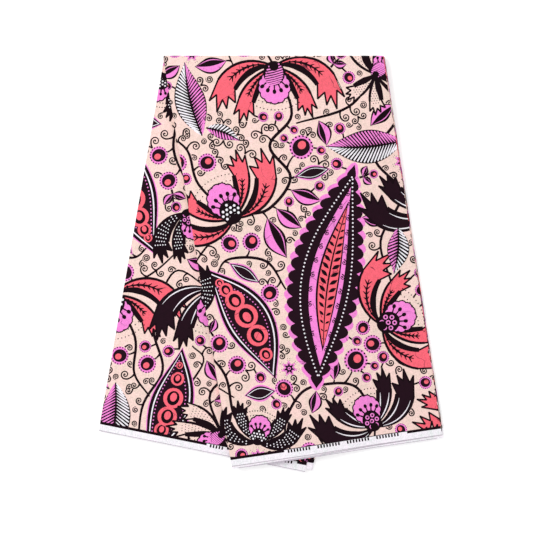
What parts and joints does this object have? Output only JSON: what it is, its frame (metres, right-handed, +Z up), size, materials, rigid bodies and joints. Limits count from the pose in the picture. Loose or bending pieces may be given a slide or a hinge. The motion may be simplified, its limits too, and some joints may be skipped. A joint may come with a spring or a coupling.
{
  "type": "african wax print fabric",
  "caption": "Length of wax-printed cotton cloth, pleated into a flat pack and folded once on the slant, lying flat.",
  "frame": {"origin": "on the surface it lies on, under the middle of the folded pack", "axes": "+X along the folded edge, +Y from the open selvedge ends toward the folded edge, +Z up"},
  "size_m": [0.4858, 0.5892, 0.0132],
  "materials": {
    "printed_cotton": "crisp plain-woven cotton with a wax print in peach, orchid, coral and near black, slightly glazed, white selvedges",
    "folded_cotton": "the same printed cotton, seen at the pleated sides and the selvedge ends of the layers between"
  },
  "bodies": {
    "root": {"outer_front": "printed_cotton", "outer_turn": "printed_cotton", "outer_under": "printed_cotton", "inner_back": "printed_cotton", "inner_front": "printed_cotton", "hidden_layers": "folded_cotton"}
  },
  "joints": []
}
